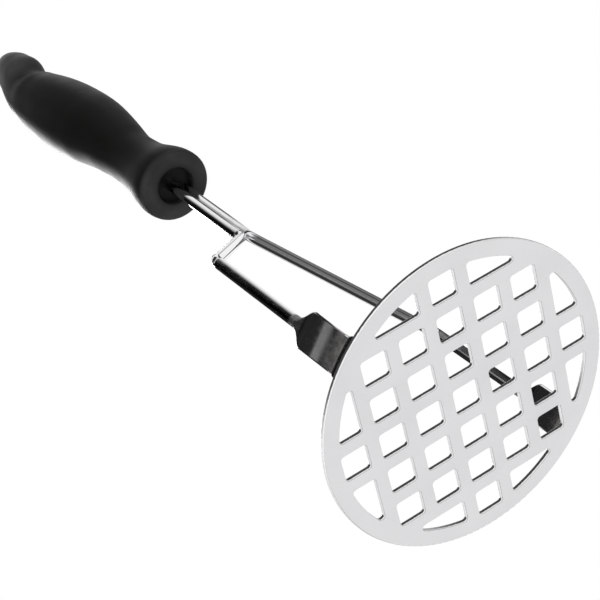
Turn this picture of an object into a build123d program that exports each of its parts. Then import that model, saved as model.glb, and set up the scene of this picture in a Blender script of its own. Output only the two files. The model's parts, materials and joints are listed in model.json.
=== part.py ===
from build123d import *
from math import asin, cos, hypot, sin, sqrt
import os

# Potato masher: two forged rods carry a perforated round plate under a moulded handle.
# Millimetres. The masher stands on its mashing face, with the origin at the face's centre,
# +Z up along the stem and the two arms spread along X. The handle's lip points to -Y. In
# the stem the two rods lie against each other a little askew, one on each side of the XZ
# plane, and each arm is the other one turned half round about Z.

# Mashing plate
plate_diameter = 84.0
plate_thickness = 1.5
plate_edge_radius = 0.4
rim_width = 4.5
hole_pitch = 11.2
hole_side = 7.6
hole_corner_radius = 1.0
lattice_turn = 45.0

# Rods and the fork that they make
rod_diameter = 3.2
rod_gap = 0.1
stem_skew = 0.5
fork_height = 108.2
shoulder_height = 62.2
bend_radius = 5.0

# Flattened end of each arm
paddle_width = 10.0
paddle_thickness = 1.1
paddle_edge_radius = 0.45
paddle_top_height = 17.0
flare_length = 5.8
foot_length = 5.2
foot_setback = 0.3
foot_bend_radius = 1.9

# Weld bead in the wedge between each foot's fold and the plate's edge
weld_radius = 1.0
weld_length = 11.0
weld_lift = 0.5

# Tangs inside the handle
tang_length = 62.0
notch_count = 2
notch_depth = 0.5
notch_length = 4.0
notch_pitch = 9.0
notch_margin = 8.0

# Handle
handle_height = 151.2
handle_length = 128.0
collar_diameter = 23.2
neck_diameter = 17.2
grip_depth = 24.6
grip_width = 22.6
sway = 4.0
collar_edge_radius = 1.2
recess_diameter = 12.0
recess_depth = 2.5
recess_edge_radius = 0.5

# Every cut runs this far past the face that it opens
overrun = 2.0

# The left arm is the right one turned this far about Z
half_turn_degrees = 180.0

# What follows from the sizes above
plate_radius = plate_diameter / 2
rim_inner_radius = plate_radius - rim_width
rod_radius = rod_diameter / 2
stem_y = -stem_skew
stem_x = sqrt((rod_radius + rod_gap / 2) ** 2 - stem_skew**2)
arm_x = plate_radius - foot_setback - paddle_thickness / 2
foot_middle_height = plate_thickness + paddle_thickness / 2
foot_end_x = arm_x + paddle_thickness / 2 - foot_length
flare_top_height = paddle_top_height + flare_length
tang_base_height = handle_height + recess_depth
tang_top_height = tang_base_height + tang_length

# Outline of the handle, from the collar's flat face up to the tip. Each row is the height
# as a share of the handle's length, the centre's sway as a share of the sway, and where the
# section stands between the neck (0) and the collar or the grip (1).
collar_shares = (
    (0.000, 0.00, 0.88),
    (0.021, 0.04, 1.00),
    (0.053, 0.10, 0.88),
    (0.099, 0.17, 0.46),
    (0.148, 0.20, 0.13),
    (0.195, 0.20, 0.00),
)
grip_shares = (
    (0.244, 0.17, 0.05),
    (0.291, 0.10, 0.25),
    (0.339, 0.06, 0.46),
    (0.388, 0.08, 0.68),
    (0.435, 0.17, 0.87),
    (0.483, 0.27, 0.96),
    (0.530, 0.38, 1.00),
    (0.579, 0.48, 0.97),
    (0.626, 0.59, 0.89),
    (0.674, 0.70, 0.74),
    (0.722, 0.82, 0.54),
    (0.770, 0.94, 0.23),
)

# The lip and the rounded end above it: height share, sway share, depth share and width
# share, the last two of the grip's depth and width.
lip_shares = (
    (0.812, 0.96, 0.700, 0.735),
    (0.837, 0.72, 0.714, 0.722),
    (0.858, 0.48, 0.724, 0.712),
    (0.886, 0.28, 0.682, 0.675),
    (0.916, 0.18, 0.622, 0.622),
    (0.945, 0.13, 0.548, 0.550),
    (0.967, 0.08, 0.460, 0.462),
    (0.984, 0.03, 0.354, 0.358),
    (0.995, 0.00, 0.222, 0.226),
    (1.000, 0.00, 0.104, 0.108),
)

# Corners of the arm's section stop this far short of a full round
corner_share = 0.98

# How the rod flattens: share of the flare's length from its top, share of the width gained
# and share of the thickness lost.
flare_shares = (
    (0.00, 0.00, 0.00),
    (0.15, 0.01, 0.07),
    (0.40, 0.17, 0.45),
    (0.62, 0.56, 0.78),
    (0.82, 0.92, 0.95),
    (1.00, 1.00, 1.00),
)


def hole_outline(row, column):
    """One hole of the plate, clipped by the rim. The end holes of the outermost rows run on
    to the rim."""
    x = column * hole_pitch
    y = row * hole_pitch
    half = hole_side / 2
    low_x, high_x = x - half, x + half
    low_y, high_y = y - half, y + half
    if hypot(abs(x) + half, abs(y) + half) > rim_inner_radius:
        if abs(row) > abs(column) > 0:
            low_x -= hole_pitch * (column < 0)
            high_x += hole_pitch * (column > 0)
        if abs(column) > abs(row) > 0:
            low_y -= hole_pitch * (row < 0)
            high_y += hole_pitch * (row > 0)
    width, depth = high_x - low_x, high_y - low_y
    outline = Pos((low_x + high_x) / 2, (low_y + high_y) / 2) * Rectangle(width, depth)
    clipped = outline & Circle(rim_inner_radius)
    inner = offset(clipped, -hole_corner_radius, kind=Kind.INTERSECTION)
    return offset(inner, hole_corner_radius, kind=Kind.ARC)


def plate_blank():
    """The plate before it is punched, with its edge rounded over."""
    disc = extrude(Circle(plate_radius), plate_thickness)
    return fillet(disc.edges(), plate_edge_radius)


def mashing_plate():
    """The flat plate: a solid rim round a lattice of square holes set on the diagonal."""
    reach = int(rim_inner_radius // hole_pitch)
    cells = range(-reach, reach + 1)
    holes = [
        hole_outline(row, column)
        for row in cells
        for column in cells
        if hypot(row, column) * hole_pitch < rim_inner_radius
    ]
    punch = extrude(Sketch() + holes, plate_thickness + 2 * overrun)
    return plate_blank() - Pos(0, 0, -overrun) * Rot(0, 0, lattice_turn) * punch


def flattened(share_wide, share_thin):
    """Section of the arm where the round rod turns into the flat paddle."""
    thickness = rod_diameter - (rod_diameter - paddle_thickness) * share_thin
    width = rod_diameter + (paddle_width - rod_diameter) * share_wide
    rounding = paddle_edge_radius / (paddle_thickness / 2)
    rounding = 1 - (1 - rounding) * share_thin
    corner = corner_share * rounding * thickness / 2
    return RectangleRounded(thickness, width, corner)


def tang_notches():
    """Coined notches on both flanks of a tang, which the moulded handle locks into."""
    first = tang_top_height - notch_margin
    width = rod_diameter + 2 * overrun
    across = rod_radius + overrun
    cuts = []
    for index in range(notch_count):
        height = first - index * notch_pitch
        for flank in (-1, 1):
            middle = stem_y + flank * (rod_radius - notch_depth + across / 2)
            cuts.append(Pos(stem_x, middle, height) * Box(width, across, notch_length))
    return cuts


def arm():
    """One arm on the +X side: a rod from the handle that bends out and down, flattens into
    a paddle and folds inwards into a foot on the plate's rim."""
    route = FilletPolyline(
        (stem_x, stem_y, tang_top_height),
        (stem_x, stem_y, fork_height),
        (arm_x, 0, shoulder_height),
        (arm_x, 0, flare_top_height),
        radius=bend_radius,
    )
    start = Plane(origin=(stem_x, stem_y, tang_top_height), z_dir=(0, 0, -1))
    rod = sweep(start * Circle(rod_radius), path=route)
    rod -= tang_notches()
    sections = []
    for share, wide, thin in flare_shares:
        height = flare_top_height - flare_length * share
        sections.append(Pos(arm_x, 0, height) * flattened(wide, thin))
    flare = loft(sections)
    fold = FilletPolyline(
        (arm_x, 0, paddle_top_height),
        (arm_x, 0, foot_middle_height),
        (foot_end_x, 0, foot_middle_height),
        radius=foot_bend_radius,
    )
    strip = Pos(arm_x, 0, paddle_top_height) * flattened(1, 1)
    return rod + flare + sweep(strip, path=fold)


def foot_weld(carried_arm):
    """The bead under the fold of one foot, round with the plate's edge and flush with it."""
    path_radius = plate_radius - weld_radius
    height = plate_thickness + weld_lift
    half_turn = asin((weld_length / 2 - weld_radius) / path_radius)
    ends = [
        (path_radius * cos(turn), path_radius * sin(turn), height)
        for turn in (-half_turn, 0, half_turn)
    ]
    route = ThreePointArc(*ends)
    section = Plane(origin=route @ 0, z_dir=route % 0) * Circle(weld_radius)
    bead = sweep(section, path=route)
    for end in (ends[0], ends[-1]):
        bead += Pos(*end) * Sphere(weld_radius)
    return bead - plate_blank() - carried_arm


def handle_section(height_share, sway_share, depth, width):
    """One upright section of the handle, an ellipse whose centre sways towards +Y."""
    height = handle_height + handle_length * height_share
    return Pos(0, sway * sway_share, height) * Ellipse(width / 2, depth / 2)


def handle_body():
    """The outer form of the handle, from the flat collar to the lip and the rounded end."""
    sections = []
    for height_share, sway_share, share in collar_shares:
        size = neck_diameter + (collar_diameter - neck_diameter) * share
        sections.append(handle_section(height_share, sway_share, size, size))
    for height_share, sway_share, share in grip_shares:
        depth = neck_diameter + (grip_depth - neck_diameter) * share
        width = neck_diameter + (grip_width - neck_diameter) * share
        sections.append(handle_section(height_share, sway_share, depth, width))
    for height_share, sway_share, depth_share, width_share in lip_shares:
        depth = grip_depth * depth_share
        width = grip_width * width_share
        sections.append(handle_section(height_share, sway_share, depth, width))
    return loft(sections)


def handle(arms):
    """The black handle, moulded round the two tangs, with a shallow recess at the stem."""
    body = handle_body()
    face_edge = body.edges().sort_by(Axis.Z)[0]
    body = fillet(face_edge, collar_edge_radius)
    mouth = Pos(0, 0, handle_height - overrun)
    recess = extrude(Circle(recess_diameter / 2), recess_depth + overrun)
    body -= mouth * recess
    mouth_edge = body.edges().filter_by(GeomType.CIRCLE).sort_by(Axis.Z)[0]
    return fillet(mouth_edge, recess_edge_radius) - arms


def write(name, shape):
    shape.label = name
    export_step(shape, os.path.join("parts", name + ".step"))
    print(name, round(shape.volume, 1), "cubic millimetres")


os.makedirs("parts", exist_ok=True)
right_arm = arm()
right_weld = foot_weld(right_arm)
half_round = Rot(0, 0, half_turn_degrees)
left_arm = half_round * right_arm
left_weld = half_round * right_weld

write("mashing_plate", mashing_plate())
write("right_arm", right_arm)
write("left_arm", left_arm)
write("foot_welds", Compound(children=[right_weld, left_weld]))
write("handle", handle([right_arm, left_arm]))
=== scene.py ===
import json
from collections import namedtuple
from math import cos, hypot, radians, sin

import bmesh
import bpy
from bpy.props import FloatProperty, FloatVectorProperty, IntProperty, PointerProperty
from bpy.types import NodeSocket, Operator, Panel, PropertyGroup
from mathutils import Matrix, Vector

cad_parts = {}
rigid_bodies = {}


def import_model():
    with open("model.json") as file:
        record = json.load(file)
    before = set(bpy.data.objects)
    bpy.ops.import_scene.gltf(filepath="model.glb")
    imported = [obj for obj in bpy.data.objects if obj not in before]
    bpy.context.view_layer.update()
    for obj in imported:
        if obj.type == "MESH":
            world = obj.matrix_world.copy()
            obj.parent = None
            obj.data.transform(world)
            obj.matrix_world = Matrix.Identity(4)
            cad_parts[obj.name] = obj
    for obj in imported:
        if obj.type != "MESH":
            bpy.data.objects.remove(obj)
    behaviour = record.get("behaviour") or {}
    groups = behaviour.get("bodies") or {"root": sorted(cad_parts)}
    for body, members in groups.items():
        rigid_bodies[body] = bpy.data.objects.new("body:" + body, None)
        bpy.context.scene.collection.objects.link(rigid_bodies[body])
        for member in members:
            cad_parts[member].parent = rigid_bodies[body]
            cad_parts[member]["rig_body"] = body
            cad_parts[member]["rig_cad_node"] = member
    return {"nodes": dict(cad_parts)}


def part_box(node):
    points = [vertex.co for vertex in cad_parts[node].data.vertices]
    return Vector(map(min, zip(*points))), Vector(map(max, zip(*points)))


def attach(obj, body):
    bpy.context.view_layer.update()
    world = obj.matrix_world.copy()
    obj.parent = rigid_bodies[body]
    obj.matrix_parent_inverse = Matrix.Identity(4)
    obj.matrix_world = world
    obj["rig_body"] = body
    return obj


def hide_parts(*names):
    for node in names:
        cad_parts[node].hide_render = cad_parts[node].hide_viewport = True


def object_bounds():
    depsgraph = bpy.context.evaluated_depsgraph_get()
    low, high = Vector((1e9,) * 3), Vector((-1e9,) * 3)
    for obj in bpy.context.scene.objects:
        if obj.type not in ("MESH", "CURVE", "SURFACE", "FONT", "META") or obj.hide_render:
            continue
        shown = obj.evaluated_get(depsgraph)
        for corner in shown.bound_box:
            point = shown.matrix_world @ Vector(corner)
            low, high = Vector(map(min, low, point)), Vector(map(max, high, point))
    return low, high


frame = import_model()

bl_info = {
    "name": "Potato Masher Finish",
    "version": (1, 0, 0),
    "blender": (4, 5, 0),
    "location": "3D View > Sidebar > Masher",
    "description": "Finishes the packed potato masher and sets it in a pale studio",
    "category": "Object",
}

# The masher stands on its mashing face, with +Z up the stem and the arms spread along X.
# Every length in this file is in metres.
NODES = frame["nodes"]
CAD_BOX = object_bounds()
PLATE_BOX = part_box("mashing_plate")
HANDLE_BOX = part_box("handle")
MASHER_MIDDLE = (CAD_BOX[0] + CAD_BOX[1]) / 2

# All the holes lie inside this radius.
HOLES_RADIUS = (PLATE_BOX[1].x - PLATE_BOX[0].x) / 2 * 0.95

# Corners closer than the first of these are one corner, and those closer than the second to
# a flat side's level are on it.
MERGE_SLACK = 0.000002
LEVEL_SLACK = 0.000005

# A face of the plate is a sheared wall where the upright share of its normal is below this.
# The outer edge is rounded over, so more of it counts.
HOLE_WALL_SHARE = 0.3
OUTER_WALL_SHARE = 0.8

# Heights over which the band of painted shade round each arm's neck comes in and fades out
# again
NECK_SHADE_START = (0.0185, 0.0205)
NECK_SHADE_END = (0.0228, 0.0245)

# The middle range of a noise, and the pitch of a wave texture whose scale is 1
NOISE_MIDDLE = (0.3, 0.7)
WAVE_PITCH = 0.31416

# The floor lies this far under the mashing face, and its sides reach well past its fade.
FLOOR_DROP = 0.0003
FLOOR_SIDE = 8.0

# Each lamp is a soft rectangle that points at the masher's middle, with its power in watts.
Lamp = namedtuple("Lamp", "name place width height power in_reflections")
LAMPS = (
    Lamp("key_lamp", (0.42, 0.5, 1.23), 0.5, 0.3, 4.0, True),
    Lamp("wall_lamp", (-0.95, 0.1, -0.6), 0.5, 0.5, 9.0, False),
    Lamp("top_lamp", (0.0, 0.0, 1.6), 0.9, 0.9, 8.0, False),
)

# Each black flag hangs on the white hood in one direction from the masher, in degrees:
# azimuth is counted from +X towards +Y, and elevation from the horizon up. The blurs soften
# its two ends and its long edges, and a darkness of 1 is black.
HOOD_RADIUS = 2.0
Flag = namedtuple(
    "Flag", "azimuth elevation half_width half_height side_blur edge_blur darkness")
FLAGS = (
    Flag(205, 71, 70, 10, 15, 3, 0.97),
    Flag(82, 65, 56, 8.5, 8, 2, 0.85),
    Flag(84, 49, 67, 9.3, 6, 0.8, 0.98),
    Flag(160, 55, 45, 3.0, 32, 0.8, 0.99),
    Flag(316, 56.4, 32, 2.4, 9, 0.6, 0.92),
    Flag(190, 50.2, 78, 3.2, 45, 0.8, 0.99),
    Flag(165, 48.2, 25, 2.4, 15, 0.6, 0.98),
    Flag(165, 44.9, 25, 1.4, 15, 0.6, 0.79),
    Flag(165, 32.8, 28, 10.8, 12, 0.8, 0.98),
    Flag(263, 43.3, 80, 3.6, 6, 0.8, 0.94),
    Flag(263, 41.4, 80, 2.4, 6, 1.2, 0.85),
    Flag(165, 9, 28, 19, 10, 6, 0.95),
    Flag(98, -2, 48, 26, 10, 8, 0.96),
    Flag(322, 25, 42, 13, 12, 4, 0.88),
    Flag(195, -28, 62, 29, 12, 10, 0.81),
    Flag(268, 2, 36, 22, 12, 10, 0.80),
)


# Sizes and colours that a user would change


class PlateSettings(PropertyGroup):
    steel_color: FloatVectorProperty(
        name="Steel", description="Colour of the satin sheet", subtype="COLOR",
        size=4, min=0, max=1, default=(0.74, 0.74, 0.75, 1.0),
    )
    wall_color: FloatVectorProperty(
        name="Burnished walls", description="Colour of the burnished walls and outer edge",
        subtype="COLOR", size=4, min=0, max=1, default=(0.86, 0.86, 0.87, 1.0),
    )
    # Painted shade: this dark colour goes on a band near the top of the cut walls, and only
    # on the walls that face one way.
    torn_and_shaded_color: FloatVectorProperty(
        name="Torn edge", description="Colour where the sheet tore as it was cut",
        subtype="COLOR", size=4, min=0, max=1, default=(0.045, 0.045, 0.045, 1.0),
    )
    tear_height: FloatProperty(
        name="Tear height", description="How far down the walls the torn edge reaches",
        default=0.0011, min=0, unit="LENGTH",
    )
    # Direction, from +X, of the walls that get the painted shade.
    shaded_side_angle: FloatProperty(
        name="Deep side", description="Direction that the deeply torn walls face, from +X",
        default=radians(205), unit="ROTATION",
    )
    hole_edge: FloatProperty(
        name="Hole edge", description="How far the punched edges are rounded",
        default=0.00016, min=0, unit="LENGTH",
    )
    edge_steps: IntProperty(
        name="Edge steps", description="Faces across one rounded edge", default=2, min=1,
    )
    roughness: FloatProperty(
        name="Roughness", description="Middle roughness of the satin sheet",
        default=0.38, min=0, max=1, subtype="FACTOR",
    )


class ArmSettings(PropertyGroup):
    chrome_color: FloatVectorProperty(
        name="Chrome", description="Colour of the plating", subtype="COLOR",
        size=4, min=0, max=1, default=(0.82, 0.82, 0.83, 1.0),
    )
    dish_low: FloatProperty(
        name="Dish foot", description="Height at which the paddle's hollow runs out",
        default=0.0075, min=0, unit="LENGTH",
    )
    dish_high: FloatProperty(
        name="Dish top", description="Height at which the paddle's hollow starts",
        default=0.0175, min=0, unit="LENGTH",
    )
    dish_depth: FloatProperty(
        name="Dish depth", description="Depth of the hollow that the forging left",
        default=0.00042, min=0, unit="LENGTH",
    )
    straw_color: FloatVectorProperty(
        name="Heat tint", description="Tint that the welding left round each foot",
        subtype="COLOR", size=4, min=0, max=1, default=(0.62, 0.58, 0.50, 1.0),
    )
    tint_height: FloatProperty(
        name="Tint height", description="How far up the paddle the heat tint reaches",
        default=0.011, min=0, unit="LENGTH",
    )
    roughness: FloatProperty(
        name="Roughness", description="Roughness of the polished plating",
        default=0.07, min=0, max=1, subtype="FACTOR",
    )
    # Painted shade: colour of the darker band round each paddle's neck.
    neck_shade_color: FloatVectorProperty(
        name="Struck band", description="Colour where the rod was first struck flat",
        subtype="COLOR", size=4, min=0, max=1, default=(0.3, 0.3, 0.305, 1.0),
    )
    neck_shade_roughness: FloatProperty(
        name="Struck roughness", description="Added roughness of the struck band",
        default=0.3, min=0, max=1, subtype="FACTOR",
    )


class WeldSettings(PropertyGroup):
    scale_color: FloatVectorProperty(
        name="Scale", description="Colour of the scale on the beads", subtype="COLOR",
        size=4, min=0, max=1, default=(0.02, 0.0195, 0.019, 1.0),
    )
    ripple_pitch: FloatProperty(
        name="Ripple pitch", description="Distance between two ripples of a bead",
        default=0.0009, min=0.0001, unit="LENGTH",
    )


class HandleSettings(PropertyGroup):
    plastic_color: FloatVectorProperty(
        name="Plastic", description="Colour of the moulded handle", subtype="COLOR",
        size=4, min=0, max=1, default=(0.004, 0.004, 0.0036, 1.0),
    )
    # Painted light: colour that makes the collar's flat face and the far end lighter,
    # standing in for the light they catch.
    painted_light_color: FloatVectorProperty(
        name="Rubbed plastic", description="Colour where hands and drawers have rubbed it",
        subtype="COLOR", size=4, min=0, max=1, default=(0.05, 0.05, 0.049, 1.0),
    )
    roughness: FloatProperty(
        name="Roughness", description="Middle roughness of the moulded skin",
        default=0.46, min=0, max=1, subtype="FACTOR",
    )
    gloss: FloatProperty(
        name="Gloss", description="How strongly the plastic mirrors",
        default=0.1, min=0, max=1, subtype="FACTOR",
    )
    sheen: FloatProperty(
        name="Sheen", description="Grey bloom of the skin where it turns away",
        default=0.014, min=0, max=1, subtype="FACTOR",
    )


class StudioSettings(PropertyGroup):
    floor_color: FloatVectorProperty(
        name="Floor", description="Colour of the pale floor", subtype="COLOR",
        size=4, min=0, max=1, default=(0.86, 0.86, 0.85, 1.0),
    )
    floor_reach: FloatProperty(
        name="Floor reach", description="Distance at which the floor has faded into white",
        default=2.5, min=0, unit="LENGTH",
    )
    camera_place: FloatVectorProperty(
        name="Camera", description="Where the camera stands", subtype="TRANSLATION",
        size=3, default=(-0.33435, -0.07985, -0.32535),
    )
    camera_right: FloatVectorProperty(
        name="Right of view", description="Direction that points right in the view",
        subtype="DIRECTION", size=3, default=(0.73637, -0.42666, -0.52508),
    )
    camera_up: FloatVectorProperty(
        name="Top of view", description="Direction that points up in the view",
        subtype="DIRECTION", size=3, default=(-0.23794, -0.88982, 0.38936),
    )
    lens: FloatProperty(
        name="Lens", description="Focal length in millimetres on a 36 mm sensor",
        default=114.39, min=1, unit="CAMERA",
    )
    sky_strength: FloatProperty(
        name="Sky", description="Light of the white surroundings on matt surfaces",
        default=0.7, min=0,
    )


# Materials are built from these


def fill(tree, socket, value):
    """Gives a socket a value, or links it where the value is another node's output."""
    if isinstance(value, NodeSocket):
        tree.links.new(value, socket)
    else:
        socket.default_value = value


def add(tree, kind, sockets=None, **options):
    """Adds one shader node with its options set and its sockets filled."""
    node = tree.nodes.new(kind)
    for name, value in options.items():
        setattr(node, name, value)
    for name, value in (sockets or {}).items():
        fill(tree, node.inputs[name], value)
    return node


def new_material(name):
    """A node material, its tree and its main shader."""
    material = bpy.data.materials.new(name)
    material.use_nodes = True
    tree = material.node_tree
    return material, tree, tree.nodes["Principled BSDF"]


def own_place(tree):
    """Each point's place on the piece itself."""
    return add(tree, "ShaderNodeTexCoord").outputs["Object"]


def parted(tree, vector):
    """A vector's X, Y and Z, each on its own."""
    return add(tree, "ShaderNodeSeparateXYZ", {"Vector": vector}).outputs


def length_of(tree, vector):
    node = add(tree, "ShaderNodeVectorMath", {0: vector}, operation="LENGTH")
    return node.outputs["Value"]


def reckon(tree, operation, *values):
    """One step of arithmetic on numbers and other nodes' outputs."""
    sockets = dict(enumerate(values))
    return add(tree, "ShaderNodeMath", sockets, operation=operation).outputs[0]


def times(tree, first, second):
    return reckon(tree, "MULTIPLY", first, second)


def noise(tree, place, scale, detail=2.0, stretch=(1, 1, 1), turn=0.0):
    """Noise on the object's own coordinates. Scale is in spots per metre."""
    mapped = add(tree, "ShaderNodeMapping", {
        "Vector": place, "Scale": stretch, "Rotation": (0, 0, turn),
    })
    return add(tree, "ShaderNodeTexNoise", {
        "Vector": mapped.outputs["Vector"], "Scale": scale, "Detail": detail,
    }).outputs["Fac"]


def span(tree, value, given, wanted):
    """Carries a value smoothly from one range to another, and stays inside it."""
    return add(tree, "ShaderNodeMapRange", {
        "Value": value, "From Min": given[0], "From Max": given[1],
        "To Min": wanted[0], "To Max": wanted[1],
    }, interpolation_type="SMOOTHSTEP").outputs["Result"]


def mixed(tree, amount, first, second):
    """A colour between two others."""
    node = tree.nodes.new("ShaderNodeMix")
    node.data_type = "RGBA"
    sockets = {socket.identifier: socket for socket in node.inputs}
    fill(tree, sockets["Factor_Float"], amount)
    fill(tree, sockets["A_Color"], first)
    fill(tree, sockets["B_Color"], second)
    return next(end for end in node.outputs if end.identifier == "Result_Color")


def scaled_color(color, share):
    """A colour with every channel times one share, and no transparency."""
    return tuple(min(1.0, channel * share) for channel in color[:3]) + (1.0,)


def bump(tree, height, strength, depth, under=None):
    """A relief of that depth in metres, on top of another relief if one is given."""
    sockets = {"Height": height, "Strength": strength, "Distance": depth}
    if under is not None:
        sockets["Normal"] = under
    return add(tree, "ShaderNodeBump", sockets).outputs["Normal"]


def satin_steel(look):
    """Pale rolled sheet: fine grain along X, cloudy polish and a few light scratches."""
    material, tree, shader = new_material("satin steel")
    place = own_place(tree)
    clouds = noise(tree, place, 55.0, detail=3.0)
    grain = noise(tree, place, 1.0, detail=3.0, stretch=(260, 3400, 900))
    streaks = noise(tree, place, 1.0, detail=1.0, stretch=(900, 55, 300), turn=radians(24))
    scratches = span(tree, streaks, (0.70, 0.76), (0.0, 1.0))
    darker = scaled_color(look.steel_color, 0.93)
    fill(tree, shader.inputs["Base Color"], mixed(tree, clouds, look.steel_color, darker))
    shader.inputs["Metallic"].default_value = 0.8
    cloudy = (look.roughness - 0.05, look.roughness + 0.05)
    rough = reckon(tree, "ADD", span(tree, clouds, NOISE_MIDDLE, cloudy),
                   span(tree, grain, (0.25, 0.75), (-0.04, 0.04)))
    fill(tree, shader.inputs["Roughness"], rough)
    relief = bump(tree, grain, 0.12, 0.00002)
    relief = bump(tree, scratches, 0.15, 0.00001, under=relief)
    fill(tree, shader.inputs["Normal"], relief)
    return material


def sheared_steel(look):
    """The cut walls of the holes and of the outer edge: burnished where the punch went in,
    on the mashing side, and dark in a band where the metal tore away. That dark band is
    also painted shade: it is laid only on the walls that face one way, so these read
    darker."""
    material, tree, shader = new_material("sheared steel")
    place = own_place(tree)
    tears = noise(tree, place, 1.0, stretch=(2600, 2600, 500))
    ragged = times(tree, noise(tree, place, 1300.0), look.tear_height * 0.3)
    level = reckon(tree, "ADD", parted(tree, place)["Z"], ragged)
    start = PLATE_BOX[1].z - look.tear_height * 0.85
    torn_and_shaded = span(tree, level, (start, start + look.tear_height * 0.2), (0.0, 1.0))
    # Painted shade: the dark band stays only on the walls that face one way, so these read
    # darker as if in shade.
    outward = add(tree, "ShaderNodeTexCoord").outputs["Normal"]
    toward_shaded_side = add(tree, "ShaderNodeVectorMath", {
        0: outward, 1: (cos(look.shaded_side_angle), sin(look.shaded_side_angle), 0),
    }, operation="DOT_PRODUCT").outputs["Value"]
    torn_and_shaded = times(tree, torn_and_shaded, span(tree, toward_shaded_side, (0.5, 0.85), (0.0, 1.0)))
    fill(tree, shader.inputs["Base Color"],
         mixed(tree, torn_and_shaded, look.wall_color, look.torn_and_shaded_color))
    shader.inputs["Metallic"].default_value = 0.25
    fill(tree, shader.inputs["Roughness"], span(tree, torn_and_shaded, (0.0, 1.0), (0.35, 0.7)))
    fill(tree, shader.inputs["Normal"], bump(tree, tears, 0.3, 0.00003))
    return material


def polished_chrome(look):
    """Bright plating over a forged rod: faint hammer waves, the hollow of each paddle as a
    relief, dulled scuffs, a darker and duller band of painted shade round each paddle's
    neck, standing in for the dark reflection there, and the straw tint that welding left
    just above the feet."""
    material, tree, shader = new_material("polished chrome")
    place = own_place(tree)
    height = parted(tree, place)["Z"]
    waves = noise(tree, place, 160.0, detail=1.0)
    scuffs = noise(tree, place, 900.0, detail=4.0, stretch=(1, 1, 0.35))
    clouds = noise(tree, place, 420.0)
    tint = times(tree, span(tree, height, (0.001, look.tint_height), (0.75, 0.0)),
                 span(tree, clouds, NOISE_MIDDLE, (0.4, 1.0)))
    # Painted shade: a darker, duller band round each paddle's neck stands in for the dark
    # reflection there.
    neck_shade = times(tree, span(tree, height, NECK_SHADE_START, (0.0, 1.0)),
                   span(tree, height, NECK_SHADE_END, (1.0, 0.0)))
    tinted = mixed(tree, tint, look.chrome_color, look.straw_color)
    fill(tree, shader.inputs["Base Color"], mixed(tree, neck_shade, tinted, look.neck_shade_color))
    fill(tree, shader.inputs["Metallic"], span(tree, tint, (0.0, 0.6), (1.0, 0.88)))
    scuffed = (look.roughness - 0.02, look.roughness + 0.03)
    rough = reckon(tree, "ADD", span(tree, scuffs, (0.35, 0.75), scuffed),
                   times(tree, neck_shade, look.neck_shade_roughness))
    fill(tree, shader.inputs["Roughness"], rough)
    up = add(tree, "ShaderNodeMapRange", {
        "Value": height, "From Min": look.dish_low, "From Max": look.dish_high,
    }).outputs["Result"]
    relief = bump(tree, times(tree, up, up), 1.0, look.dish_depth)
    relief = bump(tree, waves, 0.2, 0.00005, under=relief)
    fill(tree, shader.inputs["Normal"], relief)
    return material


def scaled_weld(look):
    """Dark bead with ripples across it and patches of bare metal."""
    material, tree, shader = new_material("scaled weld")
    place = own_place(tree)
    ripples = add(tree, "ShaderNodeTexWave", {
        "Vector": place, "Scale": WAVE_PITCH / look.ripple_pitch, "Distortion": 1.6,
        "Detail": 2.0, "Detail Scale": 2.0,
    }, wave_type="BANDS", bands_direction="Y").outputs["Fac"]
    crust = noise(tree, place, 2600.0, detail=4.0)
    bare = span(tree, noise(tree, place, 800.0), (0.5, 0.7), (0.0, 0.6))
    bright = scaled_color(look.scale_color, 4)
    fill(tree, shader.inputs["Base Color"], mixed(tree, bare, look.scale_color, bright))
    shader.inputs["Metallic"].default_value = 0.85
    fill(tree, shader.inputs["Roughness"], span(tree, crust, NOISE_MIDDLE, (0.38, 0.62)))
    relief = bump(tree, ripples, 0.6, 0.00012)
    relief = bump(tree, crust, 0.3, 0.00004, under=relief)
    fill(tree, shader.inputs["Normal"], relief)
    return material


def painted_light_share(tree, place, height, clouds):
    """How much painted light the handle gets: on the collar's flat face and round the far
    end.
    """
    bottom, top = HANDLE_BOX[0].z, HANDLE_BOX[1].z
    half_collar = (HANDLE_BOX[1].x - HANDLE_BOX[0].x) / 2
    across = parted(tree, place)
    flat = add(tree, "ShaderNodeCombineXYZ", {"X": across["X"], "Y": across["Y"]})
    reach = length_of(tree, flat.outputs[0])
    face = times(tree,
                 span(tree, reach, (half_collar * 0.35, half_collar * 0.75), (0.0, 1.0)),
                 span(tree, height, (bottom, bottom + 0.003), (0.6, 0.0)))
    tip = span(tree, height, (top - 0.03, top - 0.014), (0.0, 1.0))
    patchy = span(tree, clouds, (0.35, 0.65), (0.6, 1.0))
    return times(tree, reckon(tree, "ADD", face, tip), patchy)


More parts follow.
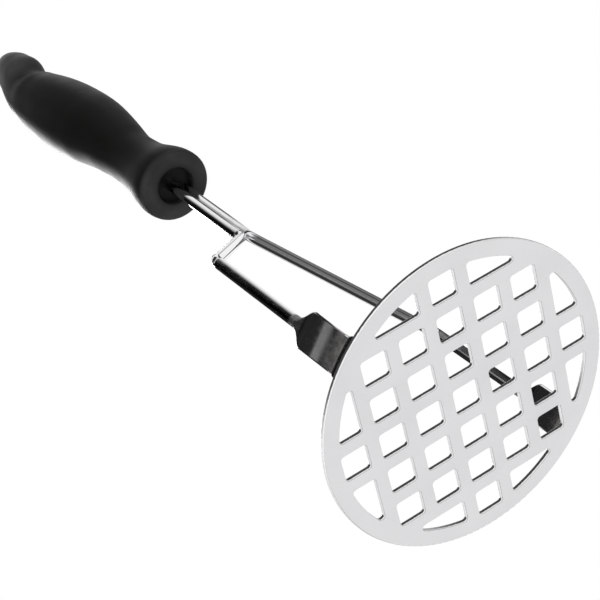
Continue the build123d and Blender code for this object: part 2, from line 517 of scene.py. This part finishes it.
def moulded_plastic(look):
    """Satin black moulding: fine mould texture, a smoother belly where a hand holds it, and
    plastic painted lighter on the collar's flat face and round the far end, as painted
    light."""
    material, tree, shader = new_material("moulded plastic")
    place = own_place(tree)
    height = parted(tree, place)["Z"]
    clouds = noise(tree, place, 90.0, detail=3.0)
    skin = noise(tree, place, 2600.0)
    # Painted light: lighter plastic on the collar's flat face and round the far end.
    painted_light = painted_light_share(tree, place, height, clouds)
    fill(tree, shader.inputs["Base Color"],
         mixed(tree, painted_light, look.plastic_color, look.painted_light_color))
    bottom = HANDLE_BOX[0].z
    cloudy = (look.roughness - 0.04, look.roughness + 0.04)
    rough = reckon(tree, "ADD", span(tree, clouds, NOISE_MIDDLE, cloudy),
                   span(tree, height, (bottom + 0.03, bottom + 0.06), (0.03, -0.03)))
    fill(tree, shader.inputs["Roughness"], rough)
    shader.inputs["Specular IOR Level"].default_value = look.gloss
    shader.inputs["Sheen Weight"].default_value = look.sheen
    shader.inputs["Sheen Roughness"].default_value = 0.45
    relief = bump(tree, clouds, 0.1, 0.0001)
    relief = bump(tree, skin, 0.14, 0.00003, under=relief)
    fill(tree, shader.inputs["Normal"], relief)
    return material


# Pieces are made with these


def give_finish(piece, material):
    """Puts one material on a piece."""
    piece.data.materials.clear()
    piece.data.materials.append(material)


def select_only(piece):
    """Selects one piece and nothing else, and makes it the active one."""
    bpy.ops.object.select_all(action="DESELECT")
    piece.select_set(True)
    bpy.context.view_layer.objects.active = piece


def merged_copy(node, name):
    """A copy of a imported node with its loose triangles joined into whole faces."""
    select_only(node)
    bpy.ops.object.duplicate()
    piece = bpy.context.view_layer.objects.active
    piece.name = name
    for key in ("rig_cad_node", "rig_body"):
        del piece[key]
    piece.parent = None
    select_only(piece)
    bpy.ops.object.mode_set(mode="EDIT")
    bpy.ops.mesh.select_all(action="SELECT")
    bpy.ops.mesh.customdata_custom_splitnormals_clear()
    bpy.ops.mesh.remove_doubles(threshold=MERGE_SLACK)
    bpy.ops.object.mode_set(mode="OBJECT")
    return piece


def select_parts(piece, faces=None, edges=None):
    """In edit mode, selects only the faces or the edges that pass a test."""
    bpy.ops.mesh.select_mode(type="FACE" if faces else "EDGE")
    bpy.ops.mesh.select_all(action="DESELECT")
    mesh = bmesh.from_edit_mesh(piece.data)
    for part in mesh.faces if faces else mesh.edges:
        part.select_set((faces or edges)(part))
    mesh.select_flush_mode()
    bmesh.update_edit_mesh(piece.data)


def round_hole_edges(plate, side, radius, steps):
    """Rounds the edges that the holes leave in one flat side of the plate, and fills the
    flat side again. Side is -1 for the mashing side and 1 for the side of the feet."""
    level = PLATE_BOX[0].z if side < 0 else PLATE_BOX[1].z

    def in_level(part):
        return all(abs(vert.co.z - level) < LEVEL_SLACK for vert in part.verts)

    def at_hole(edge):
        near = all(hypot(vert.co.x, vert.co.y) < HOLES_RADIUS for vert in edge.verts)
        return edge.is_boundary and in_level(edge) and near

    select_parts(plate, faces=in_level)
    bpy.ops.mesh.delete(type="FACE")
    select_parts(plate, edges=at_hole)
    bpy.ops.transform.translate(value=(0, 0, -side * radius))
    for step in range(steps):
        start, end = (radians(90 * turn / steps) for turn in (step, step + 1))
        rise = radius * (sin(end) - sin(start))
        spread = radius * (cos(start) - cos(end))
        bpy.ops.mesh.extrude_region_move(
            TRANSFORM_OT_translate={"value": (0, 0, side * rise)})
        bpy.ops.mesh.normals_make_consistent(inside=False)
        bpy.ops.transform.shrink_fatten(value=-spread, use_even_offset=True)
    select_parts(plate, edges=lambda edge: edge.is_boundary and in_level(edge))
    bpy.ops.mesh.fill(use_beauty=True)


def is_sheared_wall(face):
    """Whether a face of the plate is the cut wall of a hole or of the outer edge."""
    at_hole = hypot(face.center.x, face.center.y) < HOLES_RADIUS
    return abs(face.normal.z) < (HOLE_WALL_SHARE if at_hole else OUTER_WALL_SHARE)


class MASHER_OT_punched_plate(Operator):
    """Rounds the punched edges of the mashing plate and gives it a satin finish"""

    bl_idname = "masher.punched_plate"
    bl_label = "Punched Plate"

    def execute(self, context):
        look = context.scene.masher_plate
        plate = merged_copy(NODES["mashing_plate"], "punched_plate")
        bpy.ops.object.mode_set(mode="EDIT")
        for side in (-1, 1):
            round_hole_edges(plate, side, look.hole_edge, look.edge_steps)
        bpy.ops.mesh.select_all(action="SELECT")
        bpy.ops.mesh.normals_make_consistent(inside=False)
        bpy.ops.object.mode_set(mode="OBJECT")
        bpy.ops.object.shade_smooth_by_angle(angle=radians(60))
        even = plate.modifiers.new("flat faces", "WEIGHTED_NORMAL")
        even.keep_sharp = True
        bpy.ops.object.modifier_apply(modifier=even.name)
        give_finish(plate, satin_steel(look))
        plate.data.materials.append(sheared_steel(look))
        for face in plate.data.polygons:
            if is_sheared_wall(face):
                face.material_index = 1
        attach(plate, "root")
        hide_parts("mashing_plate")
        return {"FINISHED"}


class MASHER_OT_chromed_arms(Operator):
    """Gives both forged arms their polished chrome plating"""

    bl_idname = "masher.chromed_arms"
    bl_label = "Chromed Arms"

    def execute(self, context):
        chrome = polished_chrome(context.scene.masher_arms)
        for name in ("right_arm", "left_arm"):
            give_finish(NODES[name], chrome)
        return {"FINISHED"}


class MASHER_OT_foot_welds(Operator):
    """Gives the beads under the two feet their dark rippled scale"""

    bl_idname = "masher.foot_welds"
    bl_label = "Foot Welds"

    def execute(self, context):
        weld = scaled_weld(context.scene.masher_welds)
        give_finish(NODES["foot_welds"], weld)
        return {"FINISHED"}


class MASHER_OT_moulded_handle(Operator):
    """Gives the handle its satin black moulded skin"""

    bl_idname = "masher.moulded_handle"
    bl_label = "Moulded Handle"

    def execute(self, context):
        plastic = moulded_plastic(context.scene.masher_handle)
        give_finish(NODES["handle"], plastic)
        return {"FINISHED"}


# The stage is made with these


def soft_lamp(lamp):
    """One rectangular soft lamp, turned towards the masher's middle."""
    turn = (MASHER_MIDDLE - Vector(lamp.place)).to_track_quat("-Z", "Y").to_euler()
    bpy.ops.object.light_add(type="AREA", location=lamp.place, rotation=turn)
    light = bpy.context.object
    light.name = lamp.name
    light.data.shape = "RECTANGLE"
    light.data.size = lamp.width
    light.data.size_y = lamp.height
    light.data.energy = lamp.power
    light.visible_glossy = lamp.in_reflections


def white_surroundings(look):
    """White to the camera and in reflections, and a plain grey light on matt surfaces."""
    world = bpy.data.worlds.new("white surroundings")
    world.use_nodes = True
    tree = world.node_tree
    ray = add(tree, "ShaderNodeLightPath").outputs
    seen = reckon(tree, "MAXIMUM", ray["Is Camera Ray"], ray["Is Glossy Ray"])
    seen = reckon(tree, "MAXIMUM", seen, ray["Is Transmission Ray"])
    strength = add(tree, "ShaderNodeMapRange",
                   {"Value": seen, "To Min": look.sky_strength, "To Max": 1.0})
    background = tree.nodes["Background"]
    background.inputs["Color"].default_value = (1, 1, 1, 1)
    fill(tree, background.inputs["Strength"], strength.outputs["Result"])
    bpy.context.scene.world = world


def pale_floor(look):
    """A floor that shows from above, fades into the white further out, and lets the view
    and the light from below through."""
    below = PLATE_BOX[0].z - FLOOR_DROP
    bpy.ops.mesh.primitive_plane_add(size=FLOOR_SIDE, location=(0, 0, below))
    floor = bpy.context.object
    floor.name = "floor"
    material, tree, shader = new_material("pale floor")
    shader.inputs["Base Color"].default_value = look.floor_color
    shader.inputs["Roughness"].default_value = 0.9
    shader.inputs["Specular IOR Level"].default_value = 0.0
    clear = add(tree, "ShaderNodeBsdfTransparent")
    from_below = add(tree, "ShaderNodeNewGeometry").outputs["Backfacing"]
    from_above = reckon(tree, "SUBTRACT", 1.0, from_below)
    by_camera = add(tree, "ShaderNodeLightPath").outputs["Is Camera Ray"]
    fade = (look.floor_reach * 0.3, look.floor_reach)
    near = span(tree, length_of(tree, own_place(tree)), fade, (1.0, 0.0))
    solid = times(tree, times(tree, by_camera, from_above), near)
    both = add(tree, "ShaderNodeMixShader",
               {0: solid, 1: clear.outputs[0], 2: shader.outputs[0]})
    fill(tree, tree.nodes["Material Output"].inputs["Surface"], both.outputs[0])
    floor.data.materials.append(material)


def flag_cover(tree, flag):
    """How dark one flag is, as seen in each direction from the middle of the hood."""
    turned = add(tree, "ShaderNodeMapping", {
        "Vector": own_place(tree), "Rotation": (0, 0, -radians(flag.azimuth)),
    })
    away = add(tree, "ShaderNodeVectorMath", {0: turned.outputs["Vector"]},
               operation="NORMALIZE")
    along = parted(tree, away.outputs["Vector"])
    around = reckon(tree, "ARCTAN2", along["Y"], along["X"])
    around = reckon(tree, "ABSOLUTE", around)
    rise = reckon(tree, "ARCSINE", along["Z"])
    rise = reckon(tree, "SUBTRACT", rise, radians(flag.elevation))
    rise = reckon(tree, "ABSOLUTE", rise)
    ends = [radians(flag.half_width + blur) for blur in (-flag.side_blur, flag.side_blur)]
    edges = [radians(flag.half_height + blur) for blur in (-flag.edge_blur, flag.edge_blur)]
    return times(tree, span(tree, around, ends, (flag.darkness, 0.0)),
                 span(tree, rise, edges, (1.0, 0.0)))


def flagged_hood():
    """A white hood with black flags that only reflections see, for the dark bands in the
    chrome. It sheds no light of its own on matt surfaces."""
    bpy.ops.mesh.primitive_uv_sphere_add(radius=HOOD_RADIUS, segments=64, ring_count=32)
    hood = bpy.context.object
    hood.name = "flagged_hood"
    material, tree, _ = new_material("white hood with black flags")
    open_share = 1.0
    for flag in FLAGS:
        left = reckon(tree, "SUBTRACT", 1.0, flag_cover(tree, flag))
        open_share = times(tree, open_share, left)
    white = add(tree, "ShaderNodeEmission", {"Color": (1, 1, 1, 1), "Strength": open_share})
    fill(tree, tree.nodes["Material Output"].inputs["Surface"], white.outputs[0])
    material.cycles.emission_sampling = "NONE"
    hood.data.materials.append(material)
    hood.visible_camera = False
    hood.visible_diffuse = False
    hood.visible_shadow = False
    hood.visible_transmission = False


def studio_camera(look):
    """The camera at the photograph's place, below the mashing face and to the left."""
    right, up = Vector(look.camera_right), Vector(look.camera_up)
    back = right.cross(up)
    turn = (right.normalized(), back.cross(right).normalized(), back.normalized())
    bpy.ops.object.camera_add(location=look.camera_place)
    camera = bpy.context.object
    camera.name = "studio_camera"
    matrix = camera.matrix_world.copy()
    for column, axis in enumerate(turn):
        for row in range(3):
            matrix[row][column] = axis[row]
    camera.matrix_world = matrix
    camera.data.sensor_width = 36
    camera.data.lens = look.lens
    camera.data.clip_start = 0.01
    camera.data.clip_end = 20
    bpy.context.scene.camera = camera


class MASHER_OT_studio(Operator):
    """Sets the floor, the lamps, the hood of flags and the camera"""

    bl_idname = "masher.studio"
    bl_label = "Studio"

    def execute(self, context):
        look = context.scene.masher_studio
        white_surroundings(look)
        pale_floor(look)
        for lamp in LAMPS:
            soft_lamp(lamp)
        flagged_hood()
        studio_camera(look)
        context.scene.view_settings.view_transform = "Standard"
        return {"FINISHED"}


class MASHER_PT_sidebar(Panel):
    """Lists the masher's pieces and their settings"""

    bl_idname = "MASHER_PT_sidebar"
    bl_label = "Potato Masher"
    bl_space_type = "VIEW_3D"
    bl_region_type = "UI"
    bl_category = "Masher"

    def draw(self, context):
        for operator, settings, group in PARTS:
            box = self.layout.box()
            box.operator(operator.bl_idname)
            for name in group.__annotations__:
                box.prop(getattr(context.scene, settings), name)


# Each operator, the scene property that holds its settings, and their group
PARTS = (
    (MASHER_OT_punched_plate, "masher_plate", PlateSettings),
    (MASHER_OT_chromed_arms, "masher_arms", ArmSettings),
    (MASHER_OT_foot_welds, "masher_welds", WeldSettings),
    (MASHER_OT_moulded_handle, "masher_handle", HandleSettings),
    (MASHER_OT_studio, "masher_studio", StudioSettings),
)


def register():
    for operator, settings, group in PARTS:
        bpy.utils.register_class(group)
        setattr(bpy.types.Scene, settings, PointerProperty(type=group))
        bpy.utils.register_class(operator)
    bpy.utils.register_class(MASHER_PT_sidebar)


def unregister():
    bpy.utils.unregister_class(MASHER_PT_sidebar)
    for operator, settings, group in reversed(PARTS):
        bpy.utils.unregister_class(operator)
        delattr(bpy.types.Scene, settings)
        bpy.utils.unregister_class(group)


def main():
    register()
    bpy.ops.masher.punched_plate()
    bpy.ops.masher.chromed_arms()
    bpy.ops.masher.foot_welds()
    bpy.ops.masher.moulded_handle()
    bpy.ops.masher.studio()


if __name__ == "__main__":
    main()
